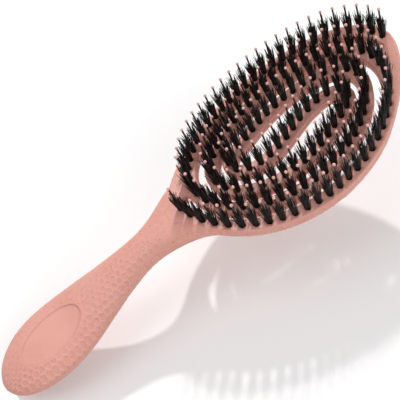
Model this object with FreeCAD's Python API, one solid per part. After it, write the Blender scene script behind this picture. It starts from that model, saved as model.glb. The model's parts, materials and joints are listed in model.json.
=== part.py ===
import FreeCAD
import Part
import math
import os

# A detangling brush lying on its back, bristles up, in millimetres.
# The vented head is a double spiral: two arms leave the rim, one at the toe and one at the
# heel, and coil inwards until they meet in an S-shaped centre bar.

# Head: the spiral tuft rows, seen from above
ROW_HALF_LENGTH = 59.8
ROW_STEP_LENGTH = 9.9
OUTER_ROW_HALF_WIDTH = 36.8
MIDDLE_ROW_HALF_WIDTH = 26.9
INNER_ROW_HALF_WIDTH = 16.2
STRIP_WIDTH = 6.4
RIM_MARGIN = 3.2
SLOT_REACH = 5.0
HAIRPIN_CENTRE_Y = -4.7
HAIRPIN_RADIUS = 5.5
CENTRE_WAVE_HEIGHT = 2.7
CENTRE_WAVE_REACH = 16.5

# Head: its curve lengthwise and its two layers
HEAD_CURVE_RADIUS = 190.0
HEAD_LOW_POINT = 6.0
HEAD_THICKNESS = 5.0
COVER_THICKNESS = 2.4
WELD_GAP = 0.1
FLEX_GAP = 0.3

# Tufts: a bristle bundle round one ball-tipped pin
TUFT_PITCH = 5.5
ROOT_RADIUS = 1.3
FLARE_RADIUS = 2.1
BRISTLE_HEIGHT = 10.5
PIN_RADIUS = 0.4
PIN_HEIGHT = 16.0
PIN_HEAD_RADIUS = 1.0
PIN_HEAD_HEIGHT = 0.5
TIP_RADIUS = 0.7
TUFT_CLEARANCE = 0.05
TIP_CLEARANCE = 0.02

# Handle: distances are from the head's centre, heights from the table
JOIN_DISTANCE = 48.0
JOIN_HALF_WIDTH = 23.5
JOIN_SIDE_SHIFT = -3.0
FLARE_POWER = 1.6
NECK_DISTANCE = 82.0
NECK_HALF_WIDTH = 8.2
NECK_HALF_THICKNESS = 6.1
NECK_HEIGHT = 13.0
BELLY_DISTANCE = 136.5
BELLY_HALF_WIDTH = 16.6
BELLY_CROWN = 4.0
BELLY_DEPTH = 9.9
BUTT_LENGTH = 26.0
BUTT_DROP = 2.0
REST_FLAT_DEPTH = 0.4

# Badge: a smooth oval recess on the front of the handle, left bare
BADGE_DISTANCE = 133.9
BADGE_HALF_LENGTH = 15.3
BADGE_HALF_WIDTH = 8.6
BADGE_DEPTH = 0.5

# Angles along a spiral arm, in degrees: it leaves the rim after half a turn
ROW_START = 176
RIM_START = 180
RIM_END = 360
OUTER_ARM_END = 540
INNER_ARM_END = 655
OUTLINE_START = 184
OUTLINE_END = 306
CUT_OVERLAP = 5

# Angles round a hairpin's own centre, where an inner arm turns into the centre bar
HAIRPIN_START = -60
HAIRPIN_END = 60
HAIRPIN_OVERLAP = 15

half_strip = STRIP_WIDTH / 2
half_flex = FLEX_GAP / 2
front_level = COVER_THICKNESS + WELD_GAP
head_reach = ROW_HALF_LENGTH + RIM_MARGIN
hairpin_x = ROW_HALF_LENGTH - 3 * ROW_STEP_LENGTH - HAIRPIN_RADIUS
handle_reach = BELLY_DISTANCE + BUTT_LENGTH
tall = 4 * PIN_HEIGHT
wide = 2 * handle_reach

# A tuft is set upright, so the slope at the head's ends takes some of the front's depth
far_reach = head_reach + abs(HEAD_LOW_POINT)
end_slope = far_reach / math.sqrt(HEAD_CURVE_RADIUS ** 2 - far_reach ** 2)
hole_radius = ROOT_RADIUS + TUFT_CLEARANCE
hole_depth = HEAD_THICKNESS - COVER_THICKNESS / 2
pin_room = PIN_HEAD_HEIGHT + 2 * TUFT_CLEARANCE + end_slope * PIN_HEAD_RADIUS
bristle_depth = HEAD_THICKNESS - front_level - pin_room

# The origin is below the middle of the brush, so the head's centre lies towards the toe
head_offset = FreeCAD.Vector((handle_reach - head_reach) / 2, 0, 0)


def point(x, y, z=0.0):
    return FreeCAD.Vector(x, y, z)


def mix(a, b, share):
    return a + (b - a) * share


def ease(share):
    """Goes from 0 to 1 with level ends."""
    share = min(1.0, max(0.0, share))
    return share * share * (3 - 2 * share)


def opposite(shape):
    """The same shape turned half round the head's centre: the other arm of the spiral."""
    turned = shape.copy()
    turned.rotate(point(0, 0), point(0, 0, 1), 180)
    return turned


def block(x_low, y_low, x_high, y_high):
    corner = point(x_low, y_low, -tall)
    return Part.makeBox(x_high - x_low, y_high - y_low, 2 * tall, corner)


# The spiral tuft row of one arm

def row_half_width(degrees):
    """The row's reach sideways, which shrinks steadily from turn to turn."""
    first_turn = (degrees - 270) / 180
    if first_turn < 1:
        return mix(OUTER_ROW_HALF_WIDTH, MIDDLE_ROW_HALF_WIDTH, first_turn)
    return mix(MIDDLE_ROW_HALF_WIDTH, INNER_ROW_HALF_WIDTH, first_turn - 1)


def row_point(degrees):
    angle = math.radians(degrees)
    half_length = ROW_HALF_LENGTH - ROW_STEP_LENGTH * (degrees - 180) / 180
    return point(half_length * math.cos(angle), row_half_width(degrees) * math.sin(angle))


def row_points(start, end, step=5):
    count = max(2, round((end - start) / step))
    return [row_point(mix(start, end, i / count)) for i in range(count + 1)]


def hairpin_points(start, end, step=15):
    """The tight turn from an inner arm into the centre bar, by angle round its own centre."""
    count = max(1, round((end - start) / step))
    points = []
    for i in range(count + 1):
        angle = math.radians(mix(start, end, i / count))
        x = hairpin_x + HAIRPIN_RADIUS * math.cos(angle)
        y = HAIRPIN_CENTRE_Y + HAIRPIN_RADIUS * math.sin(angle)
        points.append(point(x, y))
    return points


def centre_points(count=4):
    """Half of the S-shaped centre bar, as a wave from beside the hairpin towards the middle."""
    points = []
    for i in range(count + 1):
        x = mix(hairpin_x - HAIRPIN_RADIUS / 2, CENTRE_WAVE_REACH / 4, i / count)
        y = CENTRE_WAVE_HEIGHT * math.sin(math.pi / 2 * x / CENTRE_WAVE_REACH)
        points.append(point(x, y))
    return points


def spline(points):
    curve = Part.BSplineCurve()
    curve.interpolate(points)
    return curve


def beside(points, distance):
    """Points beside a row, at a distance to its left."""
    curve = spline(points)
    moved = []
    for p in points:
        along = curve.tangent(curve.parameter(p))[0]
        moved.append(p + point(-along.y, along.x) * distance)
    return moved


def strip(points):
    """A tall strip of the spiral band along a row."""
    left = beside(points, half_strip)
    right = beside(points, -half_strip)
    edges = [
        spline(left).toShape(),
        Part.LineSegment(left[-1], right[-1]).toShape(),
        spline(right).toShape(),
        Part.LineSegment(right[0], left[0]).toShape(),
    ]
    return upright(Part.Face(Part.Wire(Part.__sortEdges__(edges))))


def upright(face):
    """A plan face drawn out through the whole height."""
    low = face.copy()
    low.translate(point(0, 0, -tall / 2))
    return low.extrude(point(0, 0, tall))


# The curved layers of the head

def height(x, level):
    """Height of the head at a place along it, a level above its back face."""
    along = x - HEAD_LOW_POINT
    return HEAD_CURVE_RADIUS - math.sqrt((HEAD_CURVE_RADIUS - level) ** 2 - along ** 2)


def layer(low, high):
    """The slab of the head between two levels above its back face."""
    reach = head_reach + STRIP_WIDTH
    under = [point(x, 0, height(x, low)) for x in (-reach, HEAD_LOW_POINT, reach)]
    over = [point(x, 0, height(x, high)) for x in (-reach, HEAD_LOW_POINT, reach)]
    edges = [
        Part.Arc(under[0], under[1], under[2]).toShape(),
        Part.LineSegment(under[2], over[2]).toShape(),
        Part.Arc(over[2], over[1], over[0]).toShape(),
        Part.LineSegment(over[0], under[0]).toShape(),
    ]
    face = Part.Face(Part.Wire(edges))
    face.translate(point(0, -wide / 2, 0))
    return face.extrude(point(0, wide, 0))


# The plan of each section of the head

def rim_plan():
    """The whole oval of the head, less the space that the arms coil in."""
    outside = beside(row_points(OUTLINE_START, OUTLINE_END, 12), -RIM_MARGIN)
    outside += [point(-p.x, -p.y) for p in outside]
    outline = Part.BSplineCurve()
    outline.interpolate(outside, PeriodicFlag=True)
    oval = upright(Part.Face(Part.Wire(outline.toShape())))

    inside = beside(row_points(RIM_START - CUT_OVERLAP, RIM_END + CUT_OVERLAP), half_strip)
    edges = [
        spline(inside).toShape(),
        Part.LineSegment(inside[-1], inside[0]).toShape(),
    ]
    hollow = upright(Part.Face(Part.Wire(edges)))
    hollow = hollow.cut(block(-wide, half_flex, wide, wide))

    slot_far = -(ROW_HALF_LENGTH - half_strip)
    slot_near = -(row_point(RIM_END).x + half_strip)
    slot_radius = (slot_near - slot_far) / 2
    slot_centre = point((slot_far + slot_near) / 2, SLOT_REACH - slot_radius, -tall / 2)
    slot = block(slot_far, -slot_radius, slot_near, slot_centre.y)
    slot = slot.fuse(Part.makeCylinder(slot_radius, tall, slot_centre))

    space = hollow.fuse([opposite(hollow), slot, opposite(slot)])
    return oval, space


def outer_arm_plan():
    """From the toe of the rim over the upper side to the heel."""
    plan = strip(row_points(RIM_END - CUT_OVERLAP, OUTER_ARM_END + CUT_OVERLAP))
    return plan.cut(block(-wide, -wide, wide, half_flex))


def inner_arm_row(hairpin_end):
    points = row_points(OUTER_ARM_END, INNER_ARM_END)
    return points + hairpin_points(HAIRPIN_START, hairpin_end)


def inner_arm_plan():
    """From the heel along the lower side to the hairpin."""
    points = row_points(OUTER_ARM_END - CUT_OVERLAP, INNER_ARM_END)
    plan = strip(points + hairpin_points(HAIRPIN_START, HAIRPIN_OVERLAP))
    plan = plan.cut(block(-wide, -half_flex, 0, wide))
    return plan.cut(block(hairpin_x, HAIRPIN_CENTRE_Y - half_flex, wide, wide))


def centre_bar_row(hairpin_start):
    half = hairpin_points(hairpin_start, HAIRPIN_END) + centre_points()
    other_half = [point(-p.x, -p.y) for p in half]
    return half + [point(0, 0)] + other_half[::-1]


def centre_bar_plan():
    plan = strip(centre_bar_row(-HAIRPIN_OVERLAP))
    end = block(hairpin_x, -wide, wide, HAIRPIN_CENTRE_Y + half_flex)
    return plan.cut(end).cut(opposite(end))


# Tufts, each standing on the front face

def on_front(x, y):
    return point(x, y, height(x, HEAD_THICKNESS))


def places_along(points):
    """Tuft places along a row, half a pitch from each end."""
    curve = spline(points)
    length = curve.length()
    count = round(length / TUFT_PITCH)
    places = []
    for i in range(count):
        p = curve.value(curve.parameterAtDistance(length * (i + 0.5) / count, curve.FirstParameter))
        places.append(on_front(p.x, p.y))
    return places


def opposite_places(places):
    return [on_front(-p.x, -p.y) for p in places]


def turned_profile(corners):
    """A solid turned about Z from corners given as radius and height."""
    points = [point(radius, 0, z) for radius, z in corners]
    face = Part.Face(Part.makePolygon(points + points[:1]))
    return face.revolve(point(0, 0), point(0, 0, 1), 360)


def bristle_bundle():
    bore = PIN_RADIUS + TUFT_CLEARANCE
    return turned_profile([
        (bore, -bristle_depth),
        (ROOT_RADIUS, -bristle_depth),
        (ROOT_RADIUS, end_slope * hole_radius),
        (FLARE_RADIUS, BRISTLE_HEIGHT),
        (bore, BRISTLE_HEIGHT),
    ])


def tuft_pin():
    head_top = -bristle_depth - TUFT_CLEARANCE
    head_low = head_top - PIN_HEAD_HEIGHT
    return turned_profile([
        (0, head_low),
        (PIN_HEAD_RADIUS, head_low),
        (PIN_HEAD_RADIUS, head_top),
        (PIN_RADIUS, head_top),
        (PIN_RADIUS, PIN_HEIGHT),
        (0, PIN_HEIGHT),
    ])


def pin_tip():
    ball = Part.makeSphere(TIP_RADIUS, point(0, 0, PIN_HEIGHT))
    socket_radius = PIN_RADIUS + TIP_CLEARANCE
    socket_height = 2 * TIP_RADIUS
    socket_low = point(0, 0, PIN_HEIGHT + TIP_CLEARANCE - socket_height)
    return ball.cut(Part.makeCylinder(socket_radius, socket_height, socket_low))


def tuft_hole():
    """Right through a front strip, and blind in the thick heel."""
    return Part.makeCylinder(hole_radius, 2 * hole_depth, point(0, 0, -hole_depth))


def at_places(shape, places):
    copies = []
    for place in places:
        one = shape.copy()
        one.translate(place)
        copies.append(one)
    return copies


# The handle

def handle_section(distance):
    """Half width, height above and depth below the widest line, its sideways shift and height."""
    belly_height = BELLY_DEPTH - REST_FLAT_DEPTH
    if distance < NECK_DISTANCE:
        share = (NECK_DISTANCE - distance) / (NECK_DISTANCE - JOIN_DISTANCE)
        flare = share ** FLARE_POWER
        half_width = mix(NECK_HALF_WIDTH, JOIN_HALF_WIDTH, flare)
        half_thickness = mix(NECK_HALF_THICKNESS, HEAD_THICKNESS / 2, ease(share))
        head_middle = height(-min(distance, head_reach), HEAD_THICKNESS / 2)
        middle = mix(NECK_HEIGHT, head_middle, ease(share))
        return half_width, half_thickness, half_thickness, JOIN_SIDE_SHIFT * flare, middle
    share = ease((distance - NECK_DISTANCE) / (BELLY_DISTANCE - NECK_DISTANCE))
    half_width = mix(NECK_HALF_WIDTH, BELLY_HALF_WIDTH, share)
    crown = mix(NECK_HALF_THICKNESS, BELLY_CROWN, share)
    depth = mix(NECK_HALF_THICKNESS, BELLY_DEPTH, share)
    past_belly = max(0.0, distance - BELLY_DISTANCE) / BUTT_LENGTH
    middle = mix(NECK_HEIGHT, belly_height, share) - BUTT_DROP * past_belly ** 2
    rounding = math.sqrt(1 - min(past_belly, 0.995) ** 2)
    return half_width * rounding, crown * rounding, depth * rounding, 0.0, middle


def handle_oval(distance):
    """A flat half oval above the widest line and a deeper one below it."""
    half_width, crown, depth, side_shift, middle = handle_section(distance)
    centre = point(-distance, side_shift, middle)
    side = point(0, half_width, 0)
    above = Part.Ellipse(centre + side, centre + point(0, 0, crown), centre)
    below = Part.Ellipse(centre - side, centre - point(0, 0, depth), centre)
    return Part.Wire([above.toShape(0, math.pi), below.toShape(0, math.pi)])


def handle_grip():
    distances = [mix(JOIN_DISTANCE, NECK_DISTANCE, i / 4) for i in range(4)]
    distances += [mix(NECK_DISTANCE, BELLY_DISTANCE, i / 5) for i in range(5)]
    distances += [BELLY_DISTANCE + BUTT_LENGTH * math.sin(math.radians(a)) for a in (0, 20, 38, 54, 68, 79)]
    distances += [handle_reach]
    return Part.makeLoft([handle_oval(d) for d in distances], True, False)


def badge_recess(grip):
    """An oval sunk evenly into the crowned front of the handle."""
    middle = point(-BADGE_DISTANCE, 0, BELLY_DEPTH)
    oval = Part.Ellipse(middle, BADGE_HALF_LENGTH, BADGE_HALF_WIDTH)
    column = Part.Face(Part.Wire(oval.toShape())).extrude(point(0, 0, tall))
    floor = grip.copy()
    floor.translate(point(0, 0, -BADGE_DEPTH))
    return column.cut(floor)


# Putting the sections together

def tuft_nodes(name, places):
    return {
        name + "_bristles": Part.makeCompound(at_places(bristle_bundle(), places)),
        name + "_pins": Part.makeCompound(at_places(tuft_pin(), places)),
        name + "_pin_tips": Part.makeCompound(at_places(pin_tip(), places)),
    }


def strip_nodes(name, plan, places):
    """A front strip with its tufts and the cover strip welded to its back."""
    front = plan.common(layer(front_level, HEAD_THICKNESS))
    front = front.cut(at_places(tuft_hole(), places))
    nodes = {
        name + "_front": front,
        name + "_cover": plan.common(layer(0, COVER_THICKNESS)),
    }
    nodes.update(tuft_nodes(name, places))
    return nodes


def rim_nodes():
    """The handle and the rim's front in one moulding, and the cover welded to the rim's back."""
    oval, space = rim_plan()
    places = places_along(row_points(ROW_START, RIM_END))
    places += opposite_places(places)
    heel = block(-wide, -wide, -JOIN_DISTANCE, wide)

    grip = handle_grip()
    front = oval.common(layer(front_level, HEAD_THICKNESS))
    heel_back = oval.common(layer(0, HEAD_THICKNESS)).common(heel)
    body = grip.fuse([front, heel_back])
    body = body.cut(space).cut(badge_recess(grip))
    body = body.cut(Part.makeBox(2 * wide, wide, tall, point(-wide, -wide / 2, -tall)))
    body = body.cut(at_places(tuft_hole(), places))

    cover = oval.common(layer(0, COVER_THICKNESS)).cut(space)
    cover_end = block(-wide, -wide, -JOIN_DISTANCE + WELD_GAP, wide)
    nodes = {"handle_and_rim": body.removeSplitter(), "rim_cover": cover.cut(cover_end)}
    nodes.update(tuft_nodes("rim", places))
    return nodes


def arm_nodes():
    """The two arms of the spiral, one the other turned half round, and the centre bar."""
    outer_places = places_along(row_points(RIM_END, OUTER_ARM_END))
    inner_places = places_along(inner_arm_row(0))
    sections = [
        ("toe_arm_outer", outer_arm_plan(), outer_places),
        ("toe_arm_inner", inner_arm_plan(), inner_places),
    ]
    nodes = {}
    for name, plan, places in sections:
        nodes.update(strip_nodes(name, plan, places))
        other_name = name.replace("toe", "heel")
        nodes.update(strip_nodes(other_name, opposite(plan), opposite_places(places)))
    nodes.update(strip_nodes("centre_bar", centre_bar_plan(), places_along(centre_bar_row(0))))
    return nodes


def main():
    os.makedirs("parts", exist_ok=True)
    nodes = rim_nodes()
    nodes.update(arm_nodes())
    for name, shape in nodes.items():
        shape.translate(head_offset)
        shape.exportStep("parts/" + name + ".step")
        print(name, len(shape.Solids), "solids,", round(shape.Volume), "mm3, valid", shape.isValid())


main()
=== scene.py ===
# %% [markdown]
# # A detangling brush, dressed
# The frame gives every piece of the brush at its real place: the moulded handle and rim, the two spiral
# arms that coil into an S, and the tufts. This lesson gives them soft moulded edges, a straw-filled
# plastic finish, real bristles, and a camera that stands where the photographer stood.

# %% Load the frame
import json
import math
import random

import bmesh
import bpy
from mathutils import Matrix, Vector


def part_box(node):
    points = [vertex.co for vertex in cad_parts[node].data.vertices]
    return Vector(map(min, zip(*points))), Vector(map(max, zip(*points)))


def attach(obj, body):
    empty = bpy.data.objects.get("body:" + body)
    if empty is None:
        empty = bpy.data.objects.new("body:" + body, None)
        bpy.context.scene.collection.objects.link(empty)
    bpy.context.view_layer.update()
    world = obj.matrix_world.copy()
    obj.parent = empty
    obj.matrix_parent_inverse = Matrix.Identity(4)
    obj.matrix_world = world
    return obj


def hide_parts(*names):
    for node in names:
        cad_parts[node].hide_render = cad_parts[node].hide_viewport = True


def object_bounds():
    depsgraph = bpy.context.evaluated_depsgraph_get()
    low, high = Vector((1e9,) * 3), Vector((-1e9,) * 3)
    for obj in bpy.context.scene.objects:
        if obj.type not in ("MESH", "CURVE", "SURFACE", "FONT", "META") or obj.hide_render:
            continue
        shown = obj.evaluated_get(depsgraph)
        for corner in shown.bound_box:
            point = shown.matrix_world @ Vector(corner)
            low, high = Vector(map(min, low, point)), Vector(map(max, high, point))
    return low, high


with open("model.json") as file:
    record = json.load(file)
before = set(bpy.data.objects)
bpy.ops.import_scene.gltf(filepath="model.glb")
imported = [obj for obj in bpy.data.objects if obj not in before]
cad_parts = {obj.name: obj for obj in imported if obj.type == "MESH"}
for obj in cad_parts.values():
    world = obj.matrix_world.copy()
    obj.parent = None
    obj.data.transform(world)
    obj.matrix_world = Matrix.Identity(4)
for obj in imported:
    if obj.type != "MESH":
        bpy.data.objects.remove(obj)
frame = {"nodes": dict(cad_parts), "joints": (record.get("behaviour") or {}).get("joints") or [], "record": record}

MM = 0.001
WELD = 0.001 * MM
cad_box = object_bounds()
scene = bpy.context.scene
bodies = frame["record"]["behaviour"]["bodies"]
flexes = {joint["name"]: Vector(joint["pos_m"]) for joint in frame["joints"]}


# %% [markdown]
# ## Small helpers
# Operators act on whatever is selected, so each helper selects exactly one piece first. A modifier that
# shapes a piece is applied at once: the finished mesh then holds the shape, and an export sees it too.

# %% Helpers for selecting, copying and shaping
def only(piece):
    bpy.ops.object.select_all(action="DESELECT")
    piece.select_set(True)
    bpy.context.view_layer.objects.active = piece


def shaped(piece, kind, **settings):
    """Adds one modifier, sets it up and applies it."""
    modifier = piece.modifiers.new(kind.lower(), kind)
    for name, value in settings.items():
        setattr(modifier, name, value)
    only(piece)
    bpy.ops.object.modifier_apply(modifier=modifier.name)


def placed(mesh, name):
    mesh.materials.clear()
    piece = bpy.data.objects.new(name, mesh)
    scene.collection.objects.link(piece)
    return piece


def joined(pieces, name):
    bpy.ops.object.select_all(action="DESELECT")
    for piece in pieces:
        piece.select_set(True)
    bpy.context.view_layer.objects.active = pieces[0]
    bpy.ops.object.join()
    pieces[0].name = name
    return pieces[0]


def merged(piece):
    only(piece)
    bpy.ops.object.mode_set(mode="EDIT")
    bpy.ops.mesh.select_all(action="SELECT")
    bpy.ops.mesh.remove_doubles(threshold=WELD)
    bpy.ops.object.mode_set(mode="OBJECT")


def dressed(piece, body, material, slot, *nodes):
    """Gives a finished piece its body and its finish, and hides the nodes that it stands for."""
    piece.data.materials.clear()
    piece.data.materials.append(material)
    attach(piece, body)
    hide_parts(*nodes)


print("shaping helpers ready")


# %% [markdown]
# ## The straw-filled plastic
# The brush is moulded from plastic mixed with ground straw: a dusty pink with faint flecks, a fine grain
# and a satin face. The oval badge field on the handle is smoother than the rest. A pattern worked out from
# the place on the piece needs no unwrapping, so every finish here reads Object coordinates.

# %% Helpers for node trees
def new_material(name):
    material = bpy.data.materials.new(name)
    material.use_nodes = True
    tree = material.node_tree
    return material, tree, tree.nodes["Principled BSDF"]


def node(tree, kind, **settings):
    made = tree.nodes.new(kind)
    for name, value in settings.items():
        setattr(made, name, value)
    return made


def feed(tree, socket, value):
    """A socket takes another socket by a link, and anything else as its own value."""
    if isinstance(value, bpy.types.NodeSocket):
        tree.links.new(value, socket)
    else:
        socket.default_value = value


def math_node(tree, operation, first, second=0.0, third=0.0, clamp=False):
    made = node(tree, "ShaderNodeMath", operation=operation, use_clamp=clamp)
    for socket, value in zip(made.inputs, (first, second, third)):
        feed(tree, socket, value)
    return made.outputs[0]


def vector_node(tree, operation, first, second=(0, 0, 0), third=(0, 0, 0)):
    made = node(tree, "ShaderNodeVectorMath", operation=operation)
    for socket, value in zip(made.inputs, (first, second, third)):
        feed(tree, socket, value)
    return made.outputs["Value"] if operation in ("DOT_PRODUCT", "LENGTH") else made.outputs["Vector"]


def ramp(tree, value, low, high):
    """0 at low, 1 at high, with soft ends."""
    made = node(tree, "ShaderNodeMapRange", interpolation_type="SMOOTHSTEP")
    feed(tree, made.inputs["Value"], value)
    made.inputs["From Min"].default_value = low
    made.inputs["From Max"].default_value = high
    return made.outputs["Result"]


def noise(tree, place, per_metre, detail=3.0, roughness=0.55):
    made = node(tree, "ShaderNodeTexNoise")
    feed(tree, made.inputs["Vector"], place)
    made.inputs["Scale"].default_value = per_metre
    made.inputs["Detail"].default_value = detail
    made.inputs["Roughness"].default_value = roughness
    return made.outputs["Fac"]


def tint(tree, share, under, over):
    """Mixes two colours by a share."""
    made = node(tree, "ShaderNodeMix", data_type="RGBA")
    feed(tree, made.inputs["Factor"], share)
    feed(tree, made.inputs["A"], under)
    feed(tree, made.inputs["B"], over)
    return made.outputs["Result"]


def relief(tree, heights):
    """Stacks bumps, each a height field with its depth in metres and its strength."""
    normal = None
    for height, depth, strength in heights:
        made = node(tree, "ShaderNodeBump")
        feed(tree, made.inputs["Height"], height)
        made.inputs["Distance"].default_value = depth
        made.inputs["Strength"].default_value = strength
        if normal:
            feed(tree, made.inputs["Normal"], normal)
        normal = made.outputs["Normal"]
    return normal


print("node helpers ready")

# %% Where the handle and its badge lie
BADGE_FROM_HEAD = 133.9 * MM
BADGE_HALF_LENGTH = 15.3 * MM
BADGE_HALF_WIDTH = 8.6 * MM
BADGE_HEIGHTS = (4 * MM, 7 * MM)
NECK_FROM_HEAD = 82.0 * MM
FLARE_FROM_HEAD = 62.0 * MM

head_x = (flexes["toe_outer_flex"].x + flexes["heel_outer_flex"].x) / 2
badge_x = head_x - BADGE_FROM_HEAD
neck_x = head_x - NECK_FROM_HEAD
flare_x = head_x - FLARE_FROM_HEAD
print("head centre at", round(head_x / MM, 1), "mm, badge at", round(badge_x / MM, 1), "mm")

# %% Masks round the badge
FIELD_EDGE = (1.0, 1.1)
SHADE_LINE_WIDTH = 0.045


def parts_of(tree, vector):
    made = node(tree, "ShaderNodeSeparateXYZ")
    feed(tree, made.inputs["Vector"], vector)
    return made.outputs


def badge_masks(tree, place):
    """The reach from the badge's middle, 1 on its outline, and a mask that is 1 on the handle's back."""
    offset = vector_node(tree, "SUBTRACT", place, (badge_x, 0.0, 0.0))
    scale = (1 / BADGE_HALF_LENGTH, 1 / BADGE_HALF_WIDTH, 0.0)
    reach = vector_node(tree, "LENGTH", vector_node(tree, "MULTIPLY", offset, scale))
    low, high = BADGE_HEIGHTS
    return reach, ramp(tree, parts_of(tree, place)["Z"], high, low)


def off_badge(tree, badge, edge):
    """0 on the badge field, 1 beyond the given edge and on the back."""
    reach, back = badge
    return math_node(tree, "MAXIMUM", ramp(tree, reach, *edge), back)


def badge_shade_line(tree, badge):
    """1 along the outline of the badge field, where a darker line is painted as the shade of its step."""
    reach, back = badge
    off_line = math_node(tree, "ABSOLUTE", math_node(tree, "SUBTRACT", reach, 1.0))
    in_front = math_node(tree, "SUBTRACT", 1.0, back)
    return math_node(tree, "MULTIPLY", ramp(tree, off_line, SHADE_LINE_WIDTH, 0.0), in_front)


print("badge field", round(2 * BADGE_HALF_LENGTH / MM, 1), "by", round(2 * BADGE_HALF_WIDTH / MM, 1), "mm")

# %% [markdown]
# ## The honeycomb
# A relief of six-sided cells keeps the handle from slipping in a wet hand. It lies on the handle's front
# and back, stays off the narrow sides and the badge field, and fades out towards the neck. Six-sided cells
# belong to two grids of points, one set between the other, and a ridge runs where two points are equally
# near. The same sums serve twice, as nodes for the colour and in Python for the shape, so that the paler
# ridges, a painted highlight, and the darker cells, painted shade, lie on the modelled ones.

# %% The honeycomb as node maths
GRIP_MIDDLE_HEIGHT = 4.0 * MM
COMB_CELL = 2.9 * MM
COMB_ROWS_ROUND = 15
COMB_LINE = 0.15
ROW_PERIOD = math.sqrt(3)
HALF_ROW = ROW_PERIOD / 2


def honeycomb(tree, place):
    """1 on the ridges between the cells, 0 inside them, by the place along and the turn round."""
    x, y, z = parts_of(tree, place)
    turn = math_node(tree, "ARCTAN2", y, math_node(tree, "SUBTRACT", z, GRIP_MIDDLE_HEIGHT))
    grid = node(tree, "ShaderNodeCombineXYZ")
    feed(tree, grid.inputs["X"], math_node(tree, "DIVIDE", x, COMB_CELL))
    feed(tree, grid.inputs["Y"], math_node(tree, "MULTIPLY", turn, COMB_ROWS_ROUND * ROW_PERIOD / math.tau))
    half = (0.5, HALF_ROW, 0.0)
    edges = []
    for shift in ((0.0, 0.0, 0.0), half):
        moved = vector_node(tree, "ADD", grid.outputs["Vector"], shift)
        wrapped = vector_node(tree, "WRAP", moved, (1.0, ROW_PERIOD, 1.0))
        centred = vector_node(tree, "ABSOLUTE", vector_node(tree, "SUBTRACT", wrapped, half))
        flat = vector_node(tree, "DOT_PRODUCT", centred, (1.0, 0.0, 0.0))
        slant = vector_node(tree, "DOT_PRODUCT", centred, half)
        edges.append(math_node(tree, "MAXIMUM", flat, slant))
    return ramp(tree, math_node(tree, "MINIMUM", *edges), 0.5 - COMB_LINE, 0.5)


print("honeycomb cells of", round(COMB_CELL / MM, 1), "mm,", COMB_ROWS_ROUND, "double rows round the handle")

# %% Where the grip carries its honeycomb
SIDE_FACING = 0.30
FRONT_FACING = 0.62
BADGE_CLEAR = (1.06, 1.2)
FAINT_SIDE = (-3 * MM, 9 * MM)
FAINT_SHARE = 0.15
GRIP_FADE = 12 * MM


def grip_mask(tree, place, badge):
    """1 where the honeycomb is full, 0 on the sides, the badge field and the head."""
    x, y, _ = parts_of(tree, place)
    normal = parts_of(tree, node(tree, "ShaderNodeTexCoord").outputs["Normal"])
    off_side = ramp(tree, math_node(tree, "ABSOLUTE", normal["Z"]), SIDE_FACING, FRONT_FACING)
    mask = math_node(tree, "MULTIPLY", ramp(tree, x, flare_x, neck_x - GRIP_FADE), off_side)
    low, high = FAINT_SIDE
    faint_side = math_node(tree, "MULTIPLY_ADD", ramp(tree, y, high, low), 1.0 - FAINT_SHARE, FAINT_SHARE)
    for other in (off_badge(tree, badge, BADGE_CLEAR), faint_side):
        mask = math_node(tree, "MULTIPLY", mask, other)
    return mask


print("the honeycomb fades between", round((neck_x - GRIP_FADE) / MM), "and", round(flare_x / MM), "mm")

# %% Grains and flecks of straw
PINK = (0.700, 0.322, 0.262, 1)
PALE_PINK = (0.780, 0.415, 0.345, 1)
DEEP_PINK = (0.560, 0.225, 0.180, 1)
STRAW = (0.760, 0.470, 0.290, 1)
HUSK = (0.330, 0.125, 0.095, 1)
GRAINS_PER_METRE = 750.0
FIELD_GRAIN = 0.2
FLECKS_PER_METRE = 900.0
FLECK_RARITY = 0.84
FLECK_EDGE = (0.42, 0.18)
FLECK_KINDS = (((0.5, 1.0, 1.0), STRAW, 0.50), ((1.0, 0.6, 1.0), HUSK, 0.35))


def grained(tree, place, off_field):
    """Fine grains, fainter on the badge field."""
    grains = ramp(tree, noise(tree, place, GRAINS_PER_METRE, 4.0), 0.50, 0.70)
    kept = math_node(tree, "MULTIPLY_ADD", off_field, 1.0 - FIELD_GRAIN, FIELD_GRAIN)
    return math_node(tree, "MULTIPLY", grains, kept)


def flecked(tree, place, off_field, colour):
    """Strews chips of straw and husk, each kind drawn out one way, off the badge field."""
    for stretch, shade, share in FLECK_KINDS:
        flecks = node(tree, "ShaderNodeTexVoronoi", feature="F1")
        feed(tree, flecks.inputs["Vector"], vector_node(tree, "MULTIPLY", place, stretch))
        flecks.inputs["Scale"].default_value = FLECKS_PER_METRE
        chosen = node(tree, "ShaderNodeSeparateColor")
        feed(tree, chosen.inputs["Color"], flecks.outputs["Color"])
        rare = math_node(tree, "GREATER_THAN", chosen.outputs[0], FLECK_RARITY)
        spot = math_node(tree, "MULTIPLY", ramp(tree, flecks.outputs["Distance"], *FLECK_EDGE), off_field)
        strength = math_node(tree, "MULTIPLY", math_node(tree, "MULTIPLY", rare, spot), share)
        colour = tint(tree, strength, colour, shade)
    return colour


print(len(FLECK_KINDS), "kinds of fleck")

# %% The straw plastic itself
CLOUDS_PER_METRE = 45.0
SATIN_PER_METRE = 260.0
STIPPLE_PER_METRE = 1100.0
CLOUD_TINT = 0.35
GRAIN_TINT = 0.36
# This tint darkens the badge's outline as painted shade at its step.
SHADE_LINE_TINT = 0.50
# This tint darkens the honeycomb's sunk cells as painted shade.
CELL_SHADE_TINT = 0.20
# This tint lightens the honeycomb's raised ridges as a painted highlight.
RIDGE_HIGHLIGHT_TINT = 0.32
WORN_TINT = 0.35


def washed(tree, colour, *layers):
    """Lays tints over a colour, each by its mask and share."""
    for mask, share, shade in layers:
        colour = tint(tree, math_node(tree, "MULTIPLY", mask, share), colour, shade)
    return colour


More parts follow.
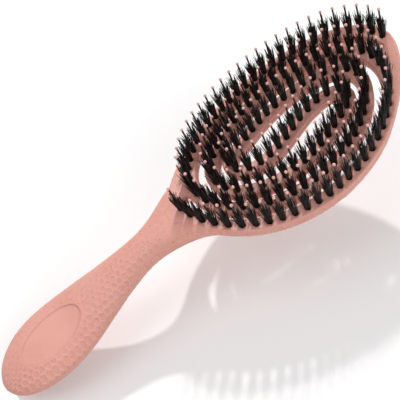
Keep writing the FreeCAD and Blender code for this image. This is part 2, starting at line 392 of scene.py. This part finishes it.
def straw_plastic():
    material, tree, shader = new_material("straw_plastic")
    place = node(tree, "ShaderNodeTexCoord").outputs["Object"]
    badge = badge_masks(tree, place)
    off_field = off_badge(tree, badge, FIELD_EDGE)
    clouds = ramp(tree, noise(tree, place, CLOUDS_PER_METRE), 0.35, 0.68)
    grains = grained(tree, place, off_field)
    grip = grip_mask(tree, place, badge)
    ridges = math_node(tree, "MULTIPLY", honeycomb(tree, place), grip)
    cells = math_node(tree, "SUBTRACT", grip, ridges)
    worn = ramp(tree, node(tree, "ShaderNodeNewGeometry").outputs["Pointiness"], 0.53, 0.60)

    colour = washed(tree, PINK, (clouds, CLOUD_TINT, PALE_PINK), (grains, GRAIN_TINT, DEEP_PINK))
    colour = washed(
        tree, flecked(tree, place, off_field, colour),
        # painted shade along the step of the badge field
        (badge_shade_line(tree, badge), SHADE_LINE_TINT, DEEP_PINK),
        # painted shade in the sunk honeycomb cells
        (cells, CELL_SHADE_TINT, DEEP_PINK),
        # painted highlight on the raised honeycomb ridges
        (ridges, RIDGE_HIGHLIGHT_TINT, PALE_PINK),
        (worn, WORN_TINT, PALE_PINK),
    )
    feed(tree, shader.inputs["Base Color"], colour)
    satin = math_node(tree, "MULTIPLY_ADD", noise(tree, place, SATIN_PER_METRE), 0.16, 0.40)
    feed(tree, shader.inputs["Roughness"], satin)
    shader.inputs["Specular IOR Level"].default_value = 0.42
    stipple = noise(tree, place, STIPPLE_PER_METRE, 2.0)
    feed(tree, shader.inputs["Normal"], relief(tree, (
        (ridges, 0.10 * MM, 0.60),
        (stipple, 0.20 * MM, 0.60),
        (grains, 0.06 * MM, 0.35),
    )))
    return material


plastic = straw_plastic()
print("finish", plastic.name, "with", len(plastic.node_tree.nodes), "nodes")

# %% [markdown]
# ## The moulded strips
# On the real brush the rim, both spiral arms and the S between them are one soft-edged moulding. The frame
# holds them as sharp-edged strips with narrow flex cuts. Copies of the strips are bridged over the cuts,
# made one skin by a voxel remesh, and smoothed until the edges are round, which a bevel could not do on
# a mesh of loose triangles.

# %% The places of the cuts and the bridges over them
HEAD_CURVE_RADIUS = 190.0 * MM
HEAD_LOW_POINT = 6.0 * MM
STRIP_WIDTH = 6.4 * MM
BRIDGE_LENGTH = 1.2 * MM
BRIDGE_INSET = 0.05 * MM
FRONT_LEVELS = (2.5 * MM, 5.0 * MM)
COVER_LEVELS = (0.0, 2.4 * MM)

hairpin = flexes["centre_flex"]
open_hairpin = Vector((2 * head_x - hairpin.x, -hairpin.y, hairpin.z))
cuts = list(flexes.values()) + [open_hairpin]


def bridge(cut, levels):
    """A block across one cut, lying along the curve of the head."""
    along = cut.x - head_x - HEAD_LOW_POINT
    radius = HEAD_CURVE_RADIUS - (levels[0] + levels[1]) / 2
    lean = math.asin(along / radius)
    height = HEAD_CURVE_RADIUS - radius * math.cos(lean)
    bpy.ops.object.select_all(action="DESELECT")
    bpy.ops.mesh.primitive_cube_add(
        size=1.0,
        location=(cut.x, cut.y, height),
        rotation=(0.0, -lean, 0.0),
        scale=(STRIP_WIDTH - 2 * BRIDGE_INSET, BRIDGE_LENGTH, levels[1] - levels[0] - 2 * BRIDGE_INSET),
    )
    bpy.ops.object.transform_apply(location=True, rotation=True, scale=True)
    return bpy.context.object


print(len(cuts), "cuts to bridge")

# %% One smooth skin over the strips
VOXEL = 0.45 * MM
KEPT_SHARE = 0.45
SMOOTHING = 0.5
EDGE_ROUNDS = 5
HANDLE_ROUNDS = 2


def skin_over(nodes, levels, name):
    pieces = [placed(frame["nodes"][each].data.copy(), each + "_copy") for each in nodes]
    pieces += [bridge(cut, levels) for cut in cuts]
    skin = joined(pieces, name)
    merged(skin)
    shaped(skin, "REMESH", mode="VOXEL", voxel_size=VOXEL)
    shaped(skin, "SMOOTH", factor=SMOOTHING, iterations=EDGE_ROUNDS)
    return skin


def snapped_to_handle(skin):
    """Draws the handle's part of the skin back onto the true surface, which keeps the badge crisp."""
    group = skin.vertex_groups.new(name="handle")
    members = [v.index for v in skin.data.vertices if v.co.x < neck_x]
    group.add(members, 1.0, "REPLACE")
    shaped(
        skin, "SHRINKWRAP", target=frame["nodes"]["handle_and_rim"],
        wrap_method="NEAREST_SURFACEPOINT", vertex_group=group.name,
    )
    shaped(skin, "SMOOTH", factor=SMOOTHING, iterations=HANDLE_ROUNDS)
    skin.vertex_groups.clear()


def thinned(skin):
    shaped(skin, "DECIMATE", decimate_type="COLLAPSE", ratio=KEPT_SHARE)


print("skins of", round(VOXEL / MM, 2), "mm voxels, thinned to", KEPT_SHARE, "of their faces")

# %% [markdown]
# ## The pressed grip
# The honeycomb of the real handle is cut into the mould, and its ridges can be felt. The skin is fine
# enough to hold it, so each cell is sunk along the surface while the ridges stay, which keeps the handle's
# size. Towards the narrow sides it fades, so that the outline stays smooth.

# %% Pressing the honeycomb into the grip
COMB_DEPTH = 0.16 * MM


def soft_step(value, low, high):
    """0 at low, 1 at high, with soft ends, as the finish has it."""
    part = min(1.0, max(0.0, (value - low) / (high - low)))
    return part * part * (3 - 2 * part)


def cell_share(place):
    """1 in the middle of a honeycomb cell, 0 on its ridges, from the same sums as the finish."""
    turn = math.atan2(place.y, place.z - GRIP_MIDDLE_HEIGHT)
    cells = place.x / COMB_CELL
    rows = turn * COMB_ROWS_ROUND * ROW_PERIOD / math.tau
    edges = []
    for shift in (0.0, 0.5):
        flat = abs((cells + shift) % 1.0 - 0.5)
        tall = abs((rows + 2 * shift * HALF_ROW) % ROW_PERIOD - HALF_ROW)
        edges.append(max(flat, flat / 2 + tall * HALF_ROW))
    return 1.0 - soft_step(min(edges), 0.5 - COMB_LINE, 0.5)


def grip_share(place, normal):
    """1 where the grip carries its honeycomb, 0 on the sides, the badge field and the head."""
    badge_reach = math.hypot((place.x - badge_x) / BADGE_HALF_LENGTH, place.y / BADGE_HALF_WIDTH)
    back = 1.0 - soft_step(place.z, *BADGE_HEIGHTS)
    off_field = max(soft_step(badge_reach, *BADGE_CLEAR), back)
    faint_side = FAINT_SHARE + (1.0 - FAINT_SHARE) * (1.0 - soft_step(place.y, *FAINT_SIDE))
    on_handle = 1.0 - soft_step(place.x, neck_x - GRIP_FADE, flare_x)
    off_side = soft_step(abs(normal.z), SIDE_FACING, FRONT_FACING)
    return on_handle * off_field * faint_side * off_side


def pressed_comb(skin):
    """Sinks the cells and leaves the ridges where they are, so the handle keeps its size."""
    sinks = [COMB_DEPTH * cell_share(v.co) * grip_share(v.co, v.normal) for v in skin.data.vertices]
    places = [v.co - v.normal * sink for v, sink in zip(skin.data.vertices, sinks)]
    for vertex, place in zip(skin.data.vertices, places):
        vertex.co = place
    print("honeycomb sunk by up to", round(max(sinks) / MM, 2), "mm")


# %% [markdown]
# ## The parting line
# The front and the back of the head are two mouldings welded together, and a fine crease shows where they
# meet. Smoothing rounds the welded edges and leaves a groove, so both sides are pushed towards the seam
# again until only the crease is left.

# %% Closing the parting line to a fine crease
SEAM_LEVEL = 2.45 * MM
SEAM_REACH = 1.0 * MM
SEAM_PUSH = 0.35 * MM
SEAM_START = 0.2 * MM
COVER_END_FROM_HEAD = 47.9 * MM
cover_end_x = head_x - COVER_END_FROM_HEAD


def share(distance):
    """1 at a seam, falling to 0 at the reach of the push."""
    return max(0.0, 1.0 - abs(distance) / SEAM_REACH)


def closed_seam(skin, is_cover):
    """Smoothing rounds the welded edges too, so they are pushed a little past the seam again."""
    toward = 1.0 if is_cover else -1.0
    for vertex in skin.data.vertices:
        from_low = vertex.co.x - head_x - HEAD_LOW_POINT
        radius = math.hypot(from_low, HEAD_CURVE_RADIUS - vertex.co.z)
        level = HEAD_CURVE_RADIUS - radius
        end_share = share(vertex.co.x - cover_end_x)
        if vertex.co.x > cover_end_x + SEAM_START:
            lift = toward * SEAM_PUSH * share(level - SEAM_LEVEL) * (1.0 - end_share)
            vertex.co.x -= lift * from_low / radius
            vertex.co.z += lift * (HEAD_CURVE_RADIUS - vertex.co.z) / radius
        if level < SEAM_LEVEL:
            vertex.co.x -= toward * SEAM_PUSH * end_share


print("the seam starts at", round(cover_end_x / MM, 1), "mm")

# %% [markdown]
# ## The flex cuts
# The real spiral bends as one spring. Here rigid sections turn at narrow cuts instead, so the skin is cut
# at those places and each body keeps its own piece. The ends are laid flat a hair apart: they slide past
# each other when the head flexes, and the cuts hardly show at rest.

# %% Cutting the skin at the flex places
CUT_REACH = Vector((4.6 * MM, 3.0 * MM, 7.0 * MM))
CUT_EXACTNESS = 0.1 * MM
END_REACH = 1.01 * CUT_EXACTNESS
END_EASE = 0.03 * MM
CAP_ANGLE = math.radians(50)


def is_near(place, cut):
    return all(abs(a - b) < reach for a, b, reach in zip(place, cut, CUT_REACH))


def cut_skin(skin):
    only(skin)
    bpy.ops.object.mode_set(mode="EDIT")
    bpy.ops.mesh.select_mode(type="FACE")
    for cut in cuts:
        bpy.ops.mesh.select_all(action="DESELECT")
        mesh = bmesh.from_edit_mesh(skin.data)
        for face in mesh.faces:
            face.select = is_near(face.calc_center_median(), cut)
        bmesh.update_edit_mesh(skin.data)
        bpy.ops.mesh.bisect(plane_co=(0, cut.y, 0), plane_no=(0, 1, 0), threshold=CUT_EXACTNESS)
        bpy.ops.mesh.edge_split(type="EDGE")
    bpy.ops.mesh.select_all(action="SELECT")
    bpy.ops.mesh.separate(type="LOOSE")
    bpy.ops.object.mode_set(mode="OBJECT")
    return [piece for piece in bpy.context.selected_objects if piece.type == "MESH"]


def eased_ends(piece):
    """Flattens each cut end a hair short of its plane, so that two ends slide past without touching."""
    for cut in cuts:
        near = [v for v in piece.data.vertices if is_near(v.co, cut)]
        side = sum(v.co.y - cut.y for v in near)
        for vertex in near:
            if abs(vertex.co.y - cut.y) < END_REACH:
                vertex.co.y = cut.y + math.copysign(END_EASE, side)


def closed(piece):
    """Caps the cut ends and shades the piece smooth, with its caps flat."""
    only(piece)
    bpy.ops.object.mode_set(mode="EDIT")
    bpy.ops.mesh.select_all(action="SELECT")
    bpy.ops.mesh.fill_holes(sides=0)
    bpy.ops.mesh.select_all(action="SELECT")
    bpy.ops.mesh.normals_make_consistent(inside=False)
    bpy.ops.object.mode_set(mode="OBJECT")
    bpy.ops.object.shade_smooth_by_angle(angle=CAP_ANGLE)


def corners(vertices):
    places = [v.co for v in vertices]
    low = Vector(min(p[i] for p in places) for i in range(3))
    high = Vector(max(p[i] for p in places) for i in range(3))
    return low, high


def node_for(piece, nodes):
    """The node whose box the piece fills."""
    low, high = corners(piece.data.vertices)
    return min(nodes, key=lambda n: (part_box(n)[0] - low).length + (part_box(n)[1] - high).length)


print("cuts at y", [round(cut.y / MM, 1) for cut in cuts], "mm")

# %% The fronts and the covers
SMALLEST_PIECE = 200
body_of_node = {each: body for body, members in bodies.items() for each in members}


def moulded(nodes, levels, name):
    skin = skin_over(nodes, levels, name)
    if "handle_and_rim" in nodes:
        snapped_to_handle(skin)
        pressed_comb(skin)
    closed_seam(skin, levels == COVER_LEVELS)
    thinned(skin)
    for piece in cut_skin(skin):
        if len(piece.data.polygons) < SMALLEST_PIECE:
            bpy.data.objects.remove(piece)
            continue
        eased_ends(piece)
        closed(piece)
        stands_for = node_for(piece, nodes)
        piece.name = stands_for + "_skin"
        dressed(piece, body_of_node[stands_for], plastic, "straw_plastic", stands_for)
        print(piece.name, len(piece.data.polygons), "faces")


front_nodes = [each for each in frame["nodes"] if each.endswith("_front") or each == "handle_and_rim"]
cover_nodes = [each for each in frame["nodes"] if each.endswith("_cover")]
moulded(front_nodes, FRONT_LEVELS, "front_skin")
moulded(cover_nodes, COVER_LEVELS, "cover_skin")

# %% [markdown]
# ## The bristles
# Each tuft is a pinch of natural bristle set round a nylon pin. The hairs leave their hole together, spread
# as they rise and end raggedly, some of them straying. One hair is modelled by drawing a small triangle
# upwards and narrowing it; a few different tufts are made of leaning copies, and every place gets a copy
# of one of them, turned by chance. A seeded draw gives the same brush each time.

# %% One hair
HAIR_RADIUS = 0.17 * MM
HAIR_HEIGHT = 10 * MM
HAIR_BEND = 0.05
HAIR_STEPS = ((0.40, 0.97), (0.35, 0.90), (0.25, 0.70))


def one_hair():
    """A hair one unit tall, bending to one side."""
    bpy.ops.object.select_all(action="DESELECT")
    bpy.ops.mesh.primitive_circle_add(vertices=3, radius=1.0, fill_type="NOTHING")
    bpy.ops.object.mode_set(mode="EDIT")
    bpy.ops.mesh.select_mode(type="VERT")
    bpy.ops.mesh.select_all(action="SELECT")
    risen = 0.0
    for rise, narrowing in HAIR_STEPS:
        bend = HAIR_BEND * ((risen + rise) ** 2 - risen ** 2)
        risen += rise
        sideways = bend / HAIR_RADIUS * HAIR_HEIGHT
        bpy.ops.mesh.extrude_region_move(TRANSFORM_OT_translate={"value": (sideways, 0, rise)})
        bpy.ops.transform.resize(value=(narrowing, narrowing, 1.0))
    bpy.ops.mesh.select_all(action="SELECT")
    bpy.ops.mesh.normals_make_consistent(inside=False)
    bpy.ops.object.mode_set(mode="OBJECT")
    bpy.ops.object.shade_smooth()
    hair = bpy.context.object
    hair.name = "hair"
    return hair


hair = one_hair()
print("one hair has", len(hair.data.polygons), "faces")

# %% A few different tufts
TUFT_KINDS = 6
HAIRS_PER_TUFT = 52
ROOT_RADIUS = 1.15 * MM
ROOT_DEPTH = 0.6 * MM
BRISTLE_HEIGHT = 10.5 * MM
SPREAD = math.radians(7)
STRAY_SPREAD = math.radians(11)
INNER_SHARE = 0.75
STRAY_CHANCE = 0.25
GOLDEN_TURN = math.pi * (3 - math.sqrt(5))
draw = random.Random(7)


def leaning_hair(angle, reach, stray):
    """Where one hair of a tuft stands: its foot, its lean outwards and its size."""
    lean = reach * (STRAY_SPREAD if stray else SPREAD) * draw.uniform(0.7, 1.15)
    tall = (BRISTLE_HEIGHT + ROOT_DEPTH) * draw.uniform(0.84, 1.08)
    foot = Matrix.Translation((ROOT_RADIUS * reach, 0, -ROOT_DEPTH))
    size = Matrix.Diagonal((HAIR_RADIUS, HAIR_RADIUS, tall, 1.0))
    twist = Matrix.Rotation(draw.uniform(0, math.tau), 4, "Z")
    return Matrix.Rotation(angle, 4, "Z") @ foot @ Matrix.Rotation(lean, 4, "Y") @ size @ twist


def one_tuft(kind):
    hairs = []
    for i in range(HAIRS_PER_TUFT):
        reach = math.sqrt((i + 0.5) / HAIRS_PER_TUFT)
        angle = i * GOLDEN_TURN + draw.uniform(-0.3, 0.3)
        stray = i > HAIRS_PER_TUFT * INNER_SHARE and draw.random() < STRAY_CHANCE
        mesh = hair.data.copy()
        mesh.transform(leaning_hair(angle, reach, stray))
        hairs.append(placed(mesh, "hair_of_tuft"))
    return joined(hairs, "tuft_kind_" + str(kind))


tufts = [one_tuft(kind) for kind in range(TUFT_KINDS)]
bpy.data.objects.remove(hair)
print(len(tufts), "kinds of tuft,", len(tufts[0].data.polygons), "faces each")

# %% The places of the tufts, read from the pins
PIN_HEIGHT = 16.0 * MM


def tuft_places(pins):
    """The foot of each pin: the pins are separate islands of one mesh."""
    mesh = bmesh.new()
    mesh.from_mesh(frame["nodes"][pins].data)
    bmesh.ops.remove_doubles(mesh, verts=mesh.verts, dist=WELD)
    waiting = set(mesh.verts)
    places = []
    while waiting:
        front = [waiting.pop()]
        island = list(front)
        while front:
            for edge in front.pop().link_edges:
                for vert in edge.verts:
                    if vert in waiting:
                        waiting.discard(vert)
                        front.append(vert)
                        island.append(vert)
        low, high = corners(island)
        middle = (low + high) / 2
        places.append(Vector((middle.x, middle.y, high.z - PIN_HEIGHT)))
    mesh.free()
    return sorted(places, key=lambda p: (round(p.x, 5), round(p.y, 5)))


places_on = {body: tuft_places(body + "_pins") for body in bodies}
print(sum(len(places) for places in places_on.values()), "tufts to plant")

# %% The bristle finish and the planting
BRISTLE_DARK = (0.0055, 0.0055, 0.0050, 1)
BRISTLE_LIGHT = (0.022, 0.020, 0.017, 1)
FIT_MARGIN = 0.98


def bristle_black():
    material, tree, shader = new_material("bristle_black")
    place = node(tree, "ShaderNodeTexCoord").outputs["Object"]
    streaks = ramp(tree, noise(tree, place, 1400.0, 2.0), 0.35, 0.75)
    shade = tint(tree, streaks, BRISTLE_DARK, BRISTLE_LIGHT)
    feed(tree, shader.inputs["Base Color"], shade)
    feed(tree, shader.inputs["Roughness"], math_node(tree, "MULTIPLY_ADD", streaks, 0.2, 0.38))
    shader.inputs["Specular IOR Level"].default_value = 0.35
    return material


def room_round(place):
    """How far a tuft may spread before it leaves the frame's box."""
    low, high = cad_box
    return min(place.x - low.x, high.x - place.x, place.y - low.y, high.y - place.y)


def planted(body, material):
    copies = []
    for place in places_on[body]:
        kind = draw.choice(tufts)
        spread = max(v.co.to_2d().length for v in kind.data.vertices)
        fit = min(1.0, FIT_MARGIN * room_round(place) / spread)
        mesh = kind.data.copy()
        turn = Matrix.Rotation(draw.uniform(0, math.tau), 4, "Z")
        mesh.transform(Matrix.Translation(place) @ turn @ Matrix.Diagonal((fit, fit, 1.0, 1.0)))
        copies.append(placed(mesh, body + "_tuft"))
    bristles = joined(copies, body + "_bristle_hairs")
    dressed(bristles, body, material, "bristle", body + "_bristles")
    print(bristles.name, len(copies), "tufts,", len(bristles.data.polygons), "faces")


black = bristle_black()
for body in bodies:
    planted(body, black)
for tuft in tufts:
    bpy.data.objects.remove(tuft)

# %% [markdown]
# ## The pins and their ball tips
# The pins and tips already have their true shape in the frame, so they only get a finish: dark nylon with
# a faint mould grain, and pink balls a little paler than the body.

# %% Finishes for the pins and the tips
def nylon(name, dark, light, per_metre, roughness):
    material, tree, shader = new_material(name)
    place = node(tree, "ShaderNodeTexCoord").outputs["Object"]
    grain = noise(tree, place, per_metre)
    feed(tree, shader.inputs["Base Color"], tint(tree, ramp(tree, grain, 0.3, 0.7), dark, light))
    feed(tree, shader.inputs["Roughness"], math_node(tree, "MULTIPLY_ADD", grain, 0.2, roughness))
    return material


pin_finish = nylon("pin_nylon", (0.007, 0.007, 0.008, 1), (0.022, 0.020, 0.019, 1), 900.0, 0.25)
tip_finish = nylon("tip_pink", (0.74, 0.38, 0.34, 1), (0.86, 0.52, 0.46, 1), 700.0, 0.25)
for body in bodies:
    for ending, finish in (("_pins", pin_finish), ("_pin_tips", tip_finish)):
        mesh = frame["nodes"][body + ending].data
        mesh.materials.clear()
        mesh.materials.append(finish)

# %% [markdown]
# ## The stage
# The brush rests on the tip of its handle, and a plain pale floor falls away gently beneath it, so that the
# shadow starts at the tip and slants to one side. The floor glows a little for the camera, which brings it
# up to white without putting more light on the brush.

# %% The floor
FLOOR_HALF = 0.9
FLOOR_SLOPE = math.radians(14.0)
FLOOR_LIFT = -0.5 * MM
FLOOR_PALENESS = 0.92
FLOOR_GLOW = 0.12
FLOOR_MOTTLE = 0.02


def seen_directly(tree):
    """1 for what the camera sees, straight or in a shine, and 0 for the light that lands on the brush."""
    rays = node(tree, "ShaderNodeLightPath")
    seen = math_node(tree, "MAXIMUM", rays.outputs["Is Camera Ray"], rays.outputs["Is Glossy Ray"])
    return math_node(tree, "MAXIMUM", seen, rays.outputs["Is Transmission Ray"])


def floor_finish():
    material, tree, shader = new_material("pale_floor")
    place = node(tree, "ShaderNodeTexCoord").outputs["Object"]
    mottle = math_node(tree, "MULTIPLY_ADD", noise(tree, place, 8.0), FLOOR_MOTTLE, FLOOR_PALENESS)
    shade = node(tree, "ShaderNodeCombineColor")
    for socket in shade.inputs[:3]:
        feed(tree, socket, mottle)
    feed(tree, shader.inputs["Base Color"], shade.outputs["Color"])
    shader.inputs["Roughness"].default_value = 0.9
    shader.inputs["Specular IOR Level"].default_value = 0.1
    glow = node(tree, "ShaderNodeEmission")
    shown = node(tree, "ShaderNodeMixShader")
    feed(tree, shown.inputs["Fac"], math_node(tree, "MULTIPLY", seen_directly(tree), FLOOR_GLOW))
    tree.links.new(shader.outputs["BSDF"], shown.inputs[1])
    tree.links.new(glow.outputs["Emission"], shown.inputs[2])
    tree.links.new(shown.outputs["Shader"], tree.nodes["Material Output"].inputs["Surface"])
    return material


bpy.ops.object.select_all(action="DESELECT")
bpy.ops.mesh.primitive_plane_add(size=2 * FLOOR_HALF, location=(FLOOR_HALF, 0, 0))
bpy.ops.object.transform_apply(location=True, rotation=True, scale=True)
bpy.context.object.rotation_euler.y = FLOOR_SLOPE
bpy.context.object.location = (cad_box[0].x, 0, FLOOR_LIFT)
bpy.ops.object.transform_apply(location=True, rotation=True, scale=True)
floor = bpy.context.object
floor.name = "floor"
floor.data.materials.append(floor_finish())
print("floor falls by", round(math.degrees(FLOOR_SLOPE)), "degrees")

# %% [markdown]
# ## The light
# Broad soft lamps, as in a studio, light the brush evenly: a key from above and a weak fill from the near
# side. One smaller lamp stands on the far side, because only a small source draws a shadow with an edge. The
# world fills in the rest, and looks white where the camera meets it.

# %% The lamps
def soft_light(name, place, aim, size, power):
    bpy.ops.object.light_add(type="AREA", location=place)
    light = bpy.context.object
    light.name = name
    light.data.shape = "DISK"
    light.data.size = size
    light.data.energy = power
    light.rotation_euler = (Vector(aim) - Vector(place)).to_track_quat("-Z", "Y").to_euler()


soft_light("key_light", (-0.65, 0.55, 2.5), (0, 0, 0), 2.2, 20.0)
soft_light("fill_light", (0.40, -2.00, 1.30), (0, 0, 0), 1.6, 15.0)
soft_light("shadow_light", (1.89, 1.81, 1.84), (0.05, 0, 0), 0.15, 50.0)
print("a broad key, a weak fill and a small lamp for the shadow")

# %% The world
SKY_LIGHT = 0.45
world = bpy.data.worlds.new("studio")
scene.world = world
world.use_nodes = True
sky = world.node_tree.nodes["Background"]
sky.inputs["Color"].default_value = (1, 1, 1, 1)
sky_seen = seen_directly(world.node_tree)
strength = math_node(world.node_tree, "MULTIPLY_ADD", sky_seen, 1.0 - SKY_LIGHT, SKY_LIGHT)
feed(world.node_tree, sky.inputs["Strength"], strength)
scene.view_settings.view_transform = "Standard"
print("a world of strength", SKY_LIGHT, "that looks white")

# %% [markdown]
# ## The camera
# The photographer stood on the near side and looked down along the brush. The place, the aim and the roll
# were worked out from the rows of tufts and the handle's outline, so that the picture has the same frame.

# %% The camera, where the photographer stood
CAMERA_PLACE = Vector((-40.86, -171.82, 253.38)) * MM
CAMERA_AIM = Vector((0.30, 6.83, 3.40)) * MM
CAMERA_ROLL = math.radians(-31.7)
LENS = 63.0
SENSOR_WIDTH = 36.0

camera_data = bpy.data.cameras.new("camera")
camera_data.lens = LENS
camera_data.sensor_width = SENSOR_WIDTH
camera_data.clip_start = 0.01
camera = bpy.data.objects.new("camera", camera_data)
scene.collection.objects.link(camera)
upright = (CAMERA_AIM - CAMERA_PLACE).to_track_quat("-Z", "Y").to_matrix().to_4x4()
camera.matrix_world = Matrix.Translation(CAMERA_PLACE) @ upright @ Matrix.Rotation(CAMERA_ROLL, 4, "Z")
scene.camera = camera
print("camera", round((CAMERA_AIM - CAMERA_PLACE).length / MM), "mm away")

# %% [markdown]
# ## The size of the frame
# The dressed brush is meant to fill the same box as the frame, and the frame's box is printed here.

# %% Print the frame's box
print("frame", [round(v / MM, 1) for v in cad_box[1] - cad_box[0]], "mm")
